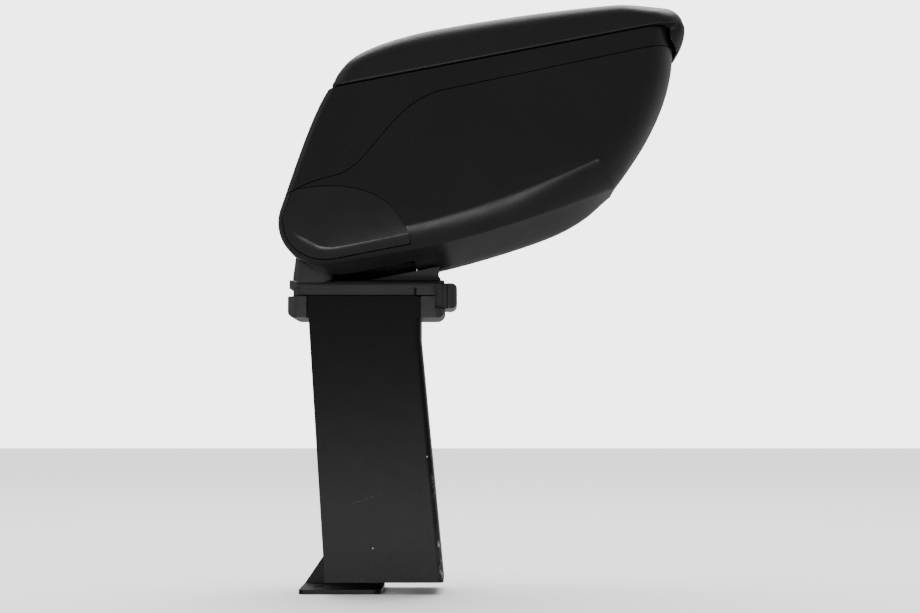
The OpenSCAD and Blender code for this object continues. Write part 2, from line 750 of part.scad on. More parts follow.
module hinge_row(on_lid) {
    spans = on_lid ? lid_knuckles() : body_knuckles();
    leaf_x = pin_at[0] + knuckle_r - 0.6;
    for (s = spans) {
        translate([pin_at[0], 0, pin_at[1]]) cross_pin(knuckle_r, s[0], s[1]);
        translate([0, (s[0] + s[1]) / 2, 0]) side(s[1] - s[0]) polygon(on_lid ?
            [[pin_at[0], pin_at[1]], [pin_at[0] + 1, lid_base_z], [lid_base_x[0] + 4, lid_base_z],
                [lid_base_x[0] + 4, lid_base_z + lid_base_t], [leaf_x, lid_base_z + lid_base_t],
                [leaf_x, pin_at[1] - 1.6]] :
            [[pin_at[0] - knuckle_r, pin_at[1]], [pin_at[0] + knuckle_r, pin_at[1]],
                [pin_at[0] + knuckle_r - 1, pin_at[1] - 9], rear_top - [1.7, 11], rear_top - [3.5, 6.2],
                rear_top + [1.3, -0.7]]);
    }
}

// Tray and its mat
tray_path = [[42, tray_rim_z], [36, 60], [40, 14], [62, -tray_depth], [160, -tray_depth],
    [228, 14], [tray_front - 12, 68], [tray_front, tray_rim_z]];
module tray_slab(d, over = 0) {
    out = outward(tray_path);
    n = len(tray_path);
    floor_extra = tray_floor - tray_t;
    path = [for (i = [0 : n - 1]) tray_path[i] - out[i] * d
        + [0, i == 0 || i == n - 1 ? over : d > 0 && tray_path[i][1] < 0 ? floor_extra : 0]];
    slab(path, [for (i = [0 : n - 1]) out[i] * (tray_round - d)], [for (i = [0 : n - 1]) tray_round - d],
        tray_w - 2 * d, [], 3);
}
module storage_tray() {
    lip = shell_t + 0.5;
    color(plastic_b) armrest() difference() {
        union() {
            tray_slab(0);
            intersection() {
                body_slab(lip);
                translate([pin_at[0] + knuckle_r + 4.5, -far / 2, tray_rim_z - 2]) cube([far, far, 2]);
            }
        }
        tray_slab(tray_t, 3);
        for (x = post_x, y = [-1, 1] * post_y) translate([x, y, -tray_depth - 1]) {
            cylinder(d = 3.4, h = 20);
            translate([0, 0, 1 + tray_floor - 2]) cylinder(d = 7, h = 20);
        }
    }
}
module tray_screws() {
    reach = post_hole - 0.5;
    color(zinc) armrest() for (x = post_x, y = [-1, 1] * post_y) translate([x, y, -tray_depth]) {
        translate([0, 0, -reach]) cylinder(d = tray_screw_d - 2 * run_fit, h = reach + tray_floor - 1.9);
        translate([0, 0, tray_floor - 1.9]) difference() {
            cylinder(d = 6, h = 1.8);
            translate([0, 0, 0.8]) cylinder(d = 2.4, h = 2, $fn = 6);
        }
    }
}
module tray_mat() {
    z = -tray_depth + tray_floor + 0.1;
    color(soft_black) armrest() translate([0, 0, z]) linear_extrude(mat_t) round_rect(mat_x[0], mat_x[1],
        tray_w - 2 * mat_in, mat_r);
}
module lid_buffers() {
    color(soft_black) armrest() for (y = [-1, 1] * buffer_y) translate([tray_front + 3.6, y, tray_rim_z])
        cylinder(r = 3.2, h = lid_base_z - tray_rim_z - 0.2);
}

// Lid
module lid_base() {
    w = body_w - 2 * (shell_t + lid_base_in);
    color(plastic_b) armrest() difference() {
        union() {
            translate([0, 0, lid_base_z]) linear_extrude(lid_base_t)
                round_rect(lid_base_x[0], lid_base_x[1], w, lid_base_r);
            hinge_row(true);
        }
        translate([pin_at[0], 0, pin_at[1]]) cross_pin(hinge_d / 2 + run_fit, -far, far);
        lid_screw_holes(3.4);
    }
}
module lid_screw_holes(d) {
    for (x = lid_screw_x, y = [-1, 1] * lid_screw_y) translate([x, y, lid_base_z - 1]) cylinder(d = d,
        h = lid_base_t + 12);
}
module lid_screws() {
    color(zinc) armrest() for (x = lid_screw_x, y = [-1, 1] * lid_screw_y) translate([x, y, lid_base_z]) {
        cylinder(d = 3, h = lid_base_t + 9);
        translate([0, 0, -1.6]) cylinder(d = 6.4, h = 1.6);
    }
}
module lid_hinge_pin() {
    color(zinc) armrest() translate([pin_at[0], 0, pin_at[1]])
        cross_pin(hinge_d / 2, -2.5 * knuckle_l, 2.5 * knuckle_l);
}
// Side outline of the padding: up the nose, back over the top, down the rear edge
lid_top = lid_z + lid_h;
nose_out = curve([lid_nose - 0.8, lid_z], [lid_nose + 1.2, lid_z + 5], [lid_nose - 1, lid_z + 12.5],
    [lid_nose - 8, lid_z + 13.3], 6);
nose_up = curve([lid_nose - 8, lid_z + 13.3], [lid_nose - 42, lid_z + 16], [lid_nose - 110, lid_z + 27.5],
    [116, lid_top], 8);
rear_over = curve([116, lid_top], [85, lid_top], [53, lid_top - 5], [lid_back + 12, lid_z + 14], 6);
rear_down = curve([lid_back + 12, lid_z + 14], [lid_back + 6, lid_z + 10], [lid_back + 2, lid_z + 5],
    [lid_back, lid_z], 4);
lid_path = concat(nose_out, nose_up, rear_over, rear_down, [[lid_back, lid_z]]);
lid_side_share = 0.4;
lid_rear_in = 12;
function soft(t) = let (c = max(0, min(1, t))) c * c * (3 - 2 * c);
function nose_share(x) = soft((x - lid_nose + 56) / 56);
module lid_cover() {
    take = [for (p = lid_path) [bow * nose_share(p[0]) - lid_rear_in * (1 - soft((p[0] - lid_back) / 30)),
        lid_side_share * (p[1] - lid_z)]];
    deep = [for (p = lid_path) 11 + (bow_depth - 11) * nose_share(p[0])];
    swell = [for (p = lid_path) [0, lid_crown * (p[1] - lid_z) / lid_h]];
    color(vinyl) armrest() difference() {
        union() {
            slab(lid_path, take, deep, lid_w, swell, 4, 3);
            finger_lip();
        }
        hinge_groove(knuckle_r + 0.6);
        lid_screw_holes(3.1);
    }
}
// Room for the hinge in the underside of the padding
module hinge_groove(r) {
    side(5 * knuckle_l + 1) union() {
        translate(pin_at) circle(r, $fn = smooth);
        translate([lid_back - 3, lid_z - 1]) square([pin_at[0] + r - lid_back + 3, pin_at[1] - lid_z + 1]);
    }
}
// Lip under the nose: down its inner face, round the tip, up its outer face
module finger_lip() {
    tip_z = lid_z - 18.7;
    front = lid_nose - 0.3;
    path = [[front - 9, lid_z + 1], [front - 9.4, lid_z - 8.5], [front - 11.2, tip_z + 0.8],
        [front - 10.4, tip_z],
        [front - 8, tip_z + 2.4], [front - 4.6, tip_z + 6.6], [front - 1.6, tip_z + 11],
        [front - 0.4, tip_z + 15.5], [front, lid_z + 1]];
    take = [for (p = path) [lip_bow, -0.35 * (lid_z + 1 - p[1])]];
    slab(path, take, [for (p = path) lip_w / 2 - body_w / 2 + bow_depth], lip_w);
}
lip_bow = bow * (1 - sqrt(1 - pow((lip_w / 2 - lid_w / 2 + bow_depth) / bow_depth, 2)));

leg_bracket();
base_collar();
collar_screws();
base_housing();
release_button();
button_spring();
pivot_bushes();
rest_pad();
lower_shell();
upper_shell();
pivot_bolt();
pivot_washers();
pivot_nut();
near_pivot_cap();
far_pivot_cap();
storage_tray();
tray_screws();
tray_mat();
lid_buffers();
lid_base();
lid_hinge_pin();
lid_screws();
lid_cover();
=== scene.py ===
import math

import bpy
from mathutils import Matrix, Vector


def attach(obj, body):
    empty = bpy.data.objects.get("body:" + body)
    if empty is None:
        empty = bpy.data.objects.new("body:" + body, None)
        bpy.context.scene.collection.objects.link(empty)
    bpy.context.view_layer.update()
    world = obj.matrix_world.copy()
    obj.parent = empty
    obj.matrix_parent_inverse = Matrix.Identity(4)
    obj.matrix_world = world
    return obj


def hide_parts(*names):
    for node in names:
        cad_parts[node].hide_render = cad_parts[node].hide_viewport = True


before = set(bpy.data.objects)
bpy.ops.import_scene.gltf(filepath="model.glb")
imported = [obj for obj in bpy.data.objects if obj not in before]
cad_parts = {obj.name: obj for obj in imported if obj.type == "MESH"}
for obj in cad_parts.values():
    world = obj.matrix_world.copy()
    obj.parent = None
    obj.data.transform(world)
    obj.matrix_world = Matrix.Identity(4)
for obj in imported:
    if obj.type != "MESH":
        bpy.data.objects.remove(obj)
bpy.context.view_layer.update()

bpy.ops.object.select_all(action="DESELECT")
mm = 0.001

# The armrest is built level about its tilt pivot, in millimetres, and then put in its place
armPlace = {"pivotBack": 15.7, "pivotZ": 279.4, "tilt": 11.0}
armMatrix = (Matrix.Translation((-armPlace["pivotBack"] * mm, 0, armPlace["pivotZ"] * mm))
             @ Matrix.Rotation(-math.radians(armPlace["tilt"]), 4, "Y") @ Matrix.Scale(mm, 4))


def pick(obj):
    bpy.ops.object.select_all(action="DESELECT")
    obj.select_set(True)
    bpy.context.view_layer.objects.active = obj


def addObject(name, data, location=(0, 0, 0), rotation=(0, 0, 0)):
    obj = bpy.data.objects.new(name, data)
    obj.location, obj.rotation_euler = location, rotation
    bpy.context.collection.objects.link(obj)
    return obj


def meshObject(name, verts, faces):
    mesh = bpy.data.meshes.new(name)
    mesh.from_pydata([tuple(v) for v in verts], [], faces)
    return addObject(name, mesh)


def copyOf(obj, name):
    return addObject(name, obj.data.copy())


def faceOutwards(obj):
    pick(obj)
    bpy.ops.object.mode_set(mode="EDIT")
    bpy.ops.mesh.select_all(action="SELECT")
    bpy.ops.mesh.normals_make_consistent(inside=False)
    bpy.ops.object.mode_set(mode="OBJECT")


def applyModifier(obj, kind, **settings):
    pick(obj)
    modifier = obj.modifiers.new(kind.lower(), kind)
    for key, value in settings.items():
        setattr(modifier, key, value)
    bpy.ops.object.modifier_apply(modifier=modifier.name)


def cut(obj, tool, how="DIFFERENCE"):
    applyModifier(obj, "BOOLEAN", operation=how, object=tool, solver="EXACT")
    bpy.data.objects.remove(tool)
    return obj


def smooth(obj, degrees):
    pick(obj)
    bpy.ops.object.shade_smooth_by_angle(angle=math.radians(degrees))


def place(obj, matrix=armMatrix):
    obj.data.transform(matrix)
    obj.data.update()
    return obj


def finish(obj, body, material, slot, *nodes):
    obj.data.materials.clear()
    obj.data.materials.append(material)
    if nodes:
        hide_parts(*nodes)
    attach(obj, body)


# An upright outline drawn out across the armrest
def bar(name, outline, width, centre=0.0):
    half = width / 2
    n = len(outline)
    verts = [(u, centre - half, w) for u, w in outline] + [(u, centre + half, w) for u, w in outline]
    faces = [list(range(n)), list(range(2 * n - 1, n - 1, -1))]
    faces += [[k, (k + 1) % n, n + (k + 1) % n, n + k] for k in range(n)]
    obj = meshObject(name, verts, faces)
    faceOutwards(obj)
    return obj


def crossCylinder(name, u, w, radius, y0, y1):
    bpy.ops.mesh.primitive_cylinder_add(vertices=96, radius=radius, depth=abs(y1 - y0),
                                        location=(u, (y0 + y1) / 2, w), rotation=(math.pi / 2, 0, 0))
    obj = bpy.context.object
    obj.name = name
    bpy.ops.object.transform_apply(location=True, rotation=True, scale=True)
    return obj


# Plane curves, in millimetres; each leaves out its last point, which starts the next curve
def bezier(a, b, c, d, n):
    points = []
    for i in range(n):
        t = i / n
        s = 1 - t
        points.append(tuple(s ** 3 * a[j] + 3 * s * s * t * b[j] + 3 * s * t * t * c[j] + t ** 3 * d[j]
                            for j in (0, 1)))
    return points


def line(a, b, n):
    return [(a[0] + (b[0] - a[0]) * i / n, a[1] + (b[1] - a[1]) * i / n) for i in range(n)]


def turned(radius, degrees):
    return radius * math.cos(math.radians(degrees)), radius * math.sin(math.radians(degrees))


def arc(radius, start, end, n):
    return [turned(radius, start + (end - start) * i / n) for i in range(n)]


def lookup(x, table):
    if x <= table[0][0]:
        return table[0][1]
    for (x0, v0), (x1, v1) in zip(table, table[1:]):
        if x <= x1:
            return v0 + (v1 - v0) * (x - x0) / (x1 - x0)
    return table[-1][1]


def softened(values, reach):
    n = len(values)
    return [sum(values[min(n - 1, max(0, i + k))] for k in range(-reach, reach + 1)) / (2 * reach + 1)
            for i in range(n)]


def soft(t):
    c = max(0.0, min(1.0, t))
    return c * c * (3 - 2 * c)


# Normals of an open outline, level with the line between its ends where it starts and stops
def outward(points, reach=3):
    n = len(points)
    normals = []
    for i in range(n):
        a, b = points[max(0, i - 1)], points[min(n - 1, i + 1)]
        d = Vector((b[0] - a[0], b[1] - a[1])).normalized()
        normals.append((d.y, -d.x))
    xs, ys = softened([p[0] for p in normals], reach), softened([p[1] for p in normals], reach)
    normals = [Vector(p).normalized() for p in zip(xs, ys)]
    level = Vector((points[0][0] - points[-1][0], points[0][1] - points[-1][1])).normalized()
    normals[0], normals[-1] = level, -level
    for i in range(1, 5):
        normals[i] = normals[i].lerp(level, (5 - i) / 5 * 0.5).normalized()
        normals[-1 - i] = normals[-1 - i].lerp(-level, (5 - i) / 5 * 0.5).normalized()
    return normals


def inset(path, normals, depth):
    return [(p[0] - n.x * depth, p[1] - n.y * depth) for p, n in zip(path, normals)]


# A closed form lofted along an outline: its edges roll over towards two flat sides. take is how far the
# outline draws in at the sides, deep is how wide the roll is, and a pinch over 1 turns more at its two ends
def loftForm(name, path, take, deep, width, rolls, middles, swell=None, pinch=None):
    rows = []
    for i, point in enumerate(path):
        reach = width / 2 - deep[i]
        tight = pinch[i] if pinch else 1.0
        row = []
        for k in range(rolls + 1):
            angle = math.radians(90 * (rolls - k) / rolls)
            row.append((-reach - deep[i] * math.sin(angle) ** tight, 1 - max(0.0, math.cos(angle)) ** tight))
        for k in range(1, middles + 1):
            row.append((reach * (2 * k / (middles + 1) - 1), 0.0))
        row += [(-y, share) for y, share in reversed(row[:rolls + 1])]
        rows.append([(point[0] - take[i][0] * share, y,
                      point[1] - take[i][1] * share + (swell(i, y, reach) if swell else 0.0))
                     for y, share in row])
    n, m = len(rows), len(rows[0])
    verts = [v for row in rows for v in row]
    faces = [[i * m + k, i * m + k + 1, (i + 1) * m + k + 1, (i + 1) * m + k]
             for i in range(n - 1) for k in range(m - 1)]
    faces.append([i * m for i in range(n)])
    faces.append([i * m + m - 1 for i in range(n - 1, -1, -1)])
    faces.append(list(range(m)) + [(n - 1) * m + k for k in range(m - 1, -1, -1)])
    obj = meshObject(name, verts, faces)
    faceOutwards(obj)
    return obj


def newMaterial(name, color, roughness, specular=0.5, metallic=0.0):
    material = bpy.data.materials.new(name)
    material.use_nodes = True
    shader = material.node_tree.nodes["Principled BSDF"]
    shader.inputs["Base Color"].default_value = (*color, 1)
    shader.inputs["Roughness"].default_value = roughness
    shader.inputs["Specular IOR Level"].default_value = specular
    shader.inputs["Metallic"].default_value = metallic
    return material, shader


def addNode(material, kind, inputs=None, **settings):
    node = material.node_tree.nodes.new(kind)
    for key, value in settings.items():
        setattr(node, key, value)
    for key, value in (inputs or {}).items():
        if isinstance(value, bpy.types.NodeSocket):
            material.node_tree.links.new(value, node.inputs[key])
        else:
            node.inputs[key].default_value = value
    return node


def calc(material, operation, a, b=0.0, clamp=False):
    return addNode(material, "ShaderNodeMath", {0: a, 1: b}, operation=operation, use_clamp=clamp).outputs[0]


def noise(material, size, detail=3.0, rough=0.5, stretch=(1, 1, 1), warp=0.0):
    where = addNode(material, "ShaderNodeTexCoord").outputs["Object"]
    mapped = addNode(material, "ShaderNodeMapping", {"Vector": where, "Scale": stretch}).outputs[0]
    return addNode(material, "ShaderNodeTexNoise", {
        "Vector": mapped, "Scale": 1 / size, "Detail": detail, "Roughness": rough,
        "Distortion": warp}).outputs["Fac"]


def ramp(material, value, low, high, out0=0.0, out1=1.0):
    return addNode(material, "ShaderNodeMapRange", {
        "Value": value, "From Min": low, "From Max": high, "To Min": out0, "To Max": out1}).outputs[0]


def link(material, value, shader, key):
    material.node_tree.links.new(value, shader.inputs[key])


def bumpFrom(material, shader, height, depth, strength=1.0):
    bump = addNode(material, "ShaderNodeBump", {"Height": height, "Distance": depth, "Strength": strength})
    link(material, bump.outputs[0], shader, "Normal")


def blendColor(material, factor, a, b):
    node = addNode(material, "ShaderNodeMix", data_type="RGBA")
    for socket, value in ((node.inputs[6], a), (node.inputs[7], b)):
        if isinstance(value, bpy.types.NodeSocket):
            material.node_tree.links.new(value, socket)
        else:
            socket.default_value = (*value, 1)
    material.node_tree.links.new(factor, node.inputs[0])
    return node.outputs[2]


def tinted(color, share):
    return [c * share for c in color]


# Moulded grain: small cells with worn tops, over a faint unevenness of the whole face
def grained(name, color, roughness, cell, depth, specular, tone=0.18):
    material, shader = newMaterial(name, color, roughness, specular)
    where = addNode(material, "ShaderNodeTexCoord").outputs["Object"]
    cells = addNode(material, "ShaderNodeTexVoronoi", {"Vector": where, "Scale": 1 / cell},
                    feature="SMOOTH_F1").outputs["Distance"]
    fine = noise(material, cell * 0.6, 2)
    height = calc(material, "ADD", calc(material, "MULTIPLY", cells, 0.8), calc(material, "MULTIPLY", fine, 0.5))
    bumpFrom(material, shader, height, depth)
    clouds = noise(material, 0.05, 4, 0.6)
    tones = blendColor(material, clouds, tinted(color, 1 - tone), tinted(color, 1 + tone))
    link(material, tones, shader, "Base Color")
    smear = ramp(material, noise(material, 0.02, 5, 0.65), 0.3, 0.7, roughness - 0.05, roughness + 0.05)
    link(material, smear, shader, "Roughness")
    return material


look = {
    "bodyPlastic": {"color": (0.0082, 0.0082, 0.0084), "roughness": 0.32, "cell": 0.0009, "depth": 0.00006,
                    "specular": 0.17},
    "capPlastic": {"color": (0.0075, 0.0075, 0.0077), "roughness": 0.31, "cell": 0.0009, "depth": 0.00005,
                   "specular": 0.27},
    "lidVinyl": {"color": (0.0065, 0.0065, 0.0068), "roughness": 0.46, "cell": 0.0013, "depth": 0.00011,
                 "specular": 0.24},
    "basePlastic": {"color": (0.016, 0.016, 0.0165), "roughness": 0.38, "cell": 0.0007, "depth": 0.00004,
                    "specular": 0.36},
    "buttonPlastic": {"color": (0.011, 0.011, 0.0115), "roughness": 0.3, "cell": 0.0006, "depth": 0.00002,
                      "specular": 0.45},
    "trayPlastic": {"color": (0.01, 0.01, 0.01), "roughness": 0.5, "cell": 0.001, "depth": 0.00006,
                    "specular": 0.3},
    # the ribs' near-black, dull colour is painted shade under the armrest, not the housing's own colour
    "ribPaintedShade": {"color": (0.003, 0.003, 0.003), "roughness": 0.6, "cell": 0.001, "depth": 0.00005,
                   "specular": 0.1},
}
plastics = {name: grained(name, **values) for name, values in look.items()}


def metal(name, color, roughness):
    material, shader = newMaterial(name, color, roughness, metallic=1.0)
    streaks = noise(material, 0.0004, 3, 0.6, stretch=(1, 0.15, 1))
    link(material, ramp(material, streaks, 0.2, 0.8, roughness - 0.07, roughness + 0.09), shader, "Roughness")
    bumpFrom(material, shader, streaks, 0.00002, 0.6)
    haze = noise(material, 0.006, 4)
    link(material, blendColor(material, haze, tinted(color, 0.82), color), shader, "Base Color")
    return material


def rubbery(name, color, roughness):
    material, shader = newMaterial(name, color, roughness)
    bumpFrom(material, shader, noise(material, 0.0006, 3, 0.7), 0.00005, 0.8)
    dust = noise(material, 0.01, 4, 0.6)
    link(material, blendColor(material, dust, color, tinted(color, 1.5)), shader, "Base Color")
    return material


zinc = metal("zinc", (0.62, 0.62, 0.6), 0.32)
spring = metal("springSteel", (0.45, 0.45, 0.44), 0.28)
rubber = rubbery("rubber", (0.011, 0.011, 0.011), 0.75)
nylon = rubbery("nylon", (0.5, 0.48, 0.4), 0.45)

# Places are in millimetres on the side plate, from the middle of the foot's bolts
legWear = {
    # the third colour is that of the rubbed marks and the scratch, and also of the painted highlight along the
    # front edge
    "paint": (0.0045, 0.0045, 0.0048), "bare": (0.42, 0.41, 0.4), "rubbedAndGlint": (0.05, 0.05, 0.05),
    "roughness": 0.38, "specular": 0.09, "frontX": 78.6, "footZ": 9.0, "lean": 5.5, "bendBand": 2.6,
    "bend": (26, 28.5), "wornTop": 92, "scuffAt": (62, 14), "scuffSize": 42, "scratch": ((8, 68), (42, 80)),
    "specks": ((25, 35), (66, 104)),
}


# Powder coat with the orange peel of the real one, a few chips down the front bend, rubbed scratches, and a
# painted highlight along the front edge
def powderCoat(values):
    paint = values["paint"]
    material, shader = newMaterial("powderCoat", paint, values["roughness"], values["specular"])

    def times(a, b, clamp=False):
        return calc(material, "MULTIPLY", a, b, clamp)

    def plus(a, b, clamp=False):
        return calc(material, "ADD", a, b, clamp)

    def minus(a, b):
        return calc(material, "SUBTRACT", a, b)

    def size(a):
        return calc(material, "ABSOLUTE", a)

    def over(a, b):
        return calc(material, "MAXIMUM", a, b)

    def fade(value, low, high, out0=0.0, out1=1.0):
        return ramp(material, value, low, high, out0, out1)

    where = addNode(material, "ShaderNodeTexCoord").outputs["Object"]
    axes = addNode(material, "ShaderNodeSeparateXYZ", {"Vector": where})
    x, z = axes.outputs["X"], axes.outputs["Z"]
    peel = noise(material, 0.0011, 2, 0.45)
    wave = noise(material, 0.012, 2, 0.4)
    bumpFrom(material, shader, plus(peel, times(wave, 2.0)), 0.00006)

    # chips on the two front bends, near the foot, and a few specks
    slope = math.tan(math.radians(values["lean"]))
    edge = minus(plus(x, times(z, slope)), (values["frontX"] + values["footZ"] * slope) * mm)
    onBend = fade(size(axes.outputs["Y"]), values["bend"][0] * mm, values["bend"][1] * mm)
    nearEdge = times(onBend, fade(edge, -values["bendBand"] * mm, -0.6 * mm))
    low = fade(z, values["wornTop"] * mm, values["wornTop"] * 0.6 * mm)
    chips = times(fade(noise(material, 0.0034, 5, 0.72), 0.5, 0.56), fade(noise(material, 0.017, 2), 0.48, 0.56))
    chipped = times(times(nearEdge, low), chips, clamp=True)
    for u, w in values["specks"]:
        spot = plus(size(minus(x, u * mm)), size(minus(z, w * mm)))
        chipped = over(chipped, fade(spot, 0.9 * mm, 0.4 * mm))

    # a rubbed place low on the plate, and along the front edge above it a lighter band that is partly rubbed
    # paint and partly a painted highlight of the rounded bend
    u, w = values["scuffAt"]
    offU, offW = minus(x, u * mm), minus(z, w * mm)
    far = calc(material, "SQRT", plus(times(offU, offU), times(offW, offW)))
    patch = fade(far, values["scuffSize"] * mm, 3 * mm)
    streaks = fade(noise(material, 0.006, 6, 0.7, stretch=(1.5, 1, 0.22), warp=0.3), 0.4, 0.7)
    clouds = fade(noise(material, 0.02, 5, 0.65), 0.4, 0.65, 0.25, 1.0)
    rubbedAndGlint = times(patch, times(streaks, clouds), clamp=True)
    # the band along the front edge, lighter towards the foot, is partly rubbed paint and partly a painted
    # highlight of the bend
    edgeRubAndGlint = times(fade(edge, -8 * mm, -1.5 * mm), times(fade(z, values["wornTop"] * mm, 15 * mm), clouds))
    rubbedAndGlint = over(rubbedAndGlint, edgeRubAndGlint)

    # one long scratch
    (u0, w0), (u1, w1) = values["scratch"]
    length = math.hypot(u1 - u0, w1 - w0)
    cu, cw = (u1 - u0) / length, (w1 - w0) / length
    du, dw = minus(x, u0 * mm), minus(z, w0 * mm)
    along = plus(times(du, cu), times(dw, cw))
    across = size(minus(times(dw, cu), times(du, cw)))
    ends = times(fade(along, 0.0, 3 * mm), fade(along, length * mm, (length - 6) * mm))
    scratch = times(fade(across, 0.45 * mm, 0.1 * mm), ends)
    thin = times(scratch, fade(noise(material, 0.003, 3), 0.35, 0.6))

    marks = plus(times(rubbedAndGlint, 0.75), times(thin, 0.6), clamp=True)
    dusty = blendColor(material, noise(material, 0.03, 5, 0.6), tinted(paint, 0.85), tinted(paint, 1.25))
    marked = blendColor(material, marks, dusty, values["rubbedAndGlint"])
    link(material, blendColor(material, chipped, marked, values["bare"]), shader, "Base Color")
    link(material, plus(values["roughness"], times(marks, 0.2), clamp=True), shader, "Roughness")
    return material


steelPaint = powderCoat(legWear)
print("materials made")


# A hard part's CAD form with softened edges
def softenedCopy(node, name, width):
    obj = copyOf(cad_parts[node], name)
    pick(obj)
    bpy.ops.object.mode_set(mode="EDIT")
    bpy.ops.mesh.select_all(action="SELECT")
    bpy.ops.mesh.remove_doubles(threshold=0.00001)
    bpy.ops.mesh.dissolve_limited(angle_limit=math.radians(0.4))
    bpy.ops.mesh.normals_make_consistent(inside=False)
    bpy.ops.object.mode_set(mode="OBJECT")
    applyModifier(obj, "BEVEL", width=width * mm, segments=2, limit_method="ANGLE",
                  angle_limit=math.radians(34), use_clamp_overlap=True)
    smooth(obj, 32)
    applyModifier(obj, "WEIGHTED_NORMAL", weight=100, keep_sharp=True)  # keeps the flat faces flat
    return obj


# Each with its node, its body, its finish and the width of its softened edges
hardParts = {
    "steelLeg": ("leg_bracket", "base", steelPaint, "leg_paint", 0.55),
    "collarMoulding": ("base_collar", "base", plastics["basePlastic"], "base_plastic", 0.6),
    "housingMoulding": ("base_housing", "base", plastics["basePlastic"], "base_plastic", 0.6),
    "buttonMoulding": ("release_button", "button", plastics["buttonPlastic"], "button_plastic", 0.7),
    "trayMoulding": ("storage_tray", "arm", plastics["trayPlastic"], "tray_plastic", 0.35),
    "lidPlate": ("lid_base", "lid", plastics["trayPlastic"], "tray_plastic", 0.4),
}
for name, (node, body, material, slot, width) in hardParts.items():
    finish(softenedCopy(node, name, width), body, material, slot, node)

# Two ribs stand between the pivot tower and the rest block and close the daylight under the armrest; their
# near-black matte colour, darker than the housing they belong to, is painted shade
ribForm = {"rear": -9, "front": 61.5, "foot": 237, "toe": (57.8, 245.3), "crest": (56.2, 254.2), "rearTop": 248,
           "gap": 12, "thick": 2.4}


def makeRibs(form):
    outline = [(form["rear"], form["foot"]), (form["front"], form["foot"]), (form["front"], form["toe"][1]),
               form["toe"], form["crest"], (form["rear"], form["rearTop"])]
    ribs = bar("deckRibs", outline, form["thick"], -form["gap"] / 2)
    cut(ribs, bar("rib", outline, form["thick"], form["gap"] / 2), "UNION")
    return place(ribs, Matrix.Scale(mm, 4))


finish(makeRibs(ribForm), "base", plastics["ribPaintedShade"], "base_plastic")
print("hard parts made")

# The storage body, with u forwards and w upwards from the tilt pivot. keelFlat is from where to where the
# keel is level, and noseLow is how far behind the front and above the keel the nose starts to rise
bodyForm = {
    "width": 130, "front": 295, "top": 97.5, "rearTop": (26.3, 97.5), "heelRadius": 30, "heelTurn": (151, 229),
    "keel": 33, "keelFlat": (12, 70), "noseLow": (69, 19), "belly": 16, "keelSoftness": 4.0, "pinch": 0.5,
    "rearRound": 7, "heelRound": 16, "keelRound": 18, "bow": 26, "bowDepth": 58, "wall": 3, "seamGap": 0.8,
    "seamLip": 1.6, "slotRadius": 66, "slotEnd": 281, "slotWidth": 65, "bossRadius": 12, "boss": (34.4, 58),
    "density": 4, "rolls": 14, "middles": 11,
}
capForm = {"ridge": 0.25, "roll": 0.66, "gap": 0.6, "seatGap": 0.35, "thick": 2.2, "rim": 4.5, "front": 65.5,
           "footRise": 2.2, "seamDrop": 0.6, "side": (45, 67)}
hingeForm = {"pin": (33.5, 101.0), "radius": 4.0, "length": 20.0, "clear": 1.4, "pinHole": 1.55, "groove": 0.6}


# The side outline, down the rear wall, round the heel, along the keel and up the nose, with a running
# number for each point: 0 is the rear top, 7 to 13 the heel, 17 to 18 the level keel and 28 to 37 the nose
def bodyOutline(form):
    keel, front, top, r = form["keel"], form["front"], form["top"], form["heelRadius"]
    heelFrom, heelTo = form["heelTurn"]
    heelStart, heelEnd = turned(r, heelFrom), turned(r, heelTo)
    keelStart, keelEnd = [(u, -keel) for u in form["keelFlat"]]
    noseLow, noseTop = (front - form["noseLow"][0], -keel + form["noseLow"][1]), (front, top)
    k = form["density"]
    pieces = [
        (bezier(form["rearTop"], (9.5, 80), (-12.5, 38), heelStart, 7 * k), 0, 7),
        (arc(r, heelFrom, heelTo, 6 * k), 7, 13),
        (bezier(heelEnd, (heelEnd[0] + 9, heelEnd[1] - 8), (-2, -keel), keelStart, 4 * k), 13, 17),
        (line(keelStart, keelEnd, 3 * k), 17, 18),
        (bezier(keelEnd, (keelEnd[0] + 50, keelEnd[1]), (noseLow[0] - 36, noseLow[1] - 8.5), noseLow, 10 * k),
         18, 28),
        (bezier(noseLow, (noseLow[0] + 21, noseLow[1] + 16.5), (noseTop[0], noseTop[1] - 49.5), noseTop, 9 * k),
         28, 37),
    ]
    path, index = [], []
    for points, low, high in pieces:
        path += points
        index += [low + (high - low) * i / len(points) for i in range(len(points))]
    return path + [noseTop], index + [37]


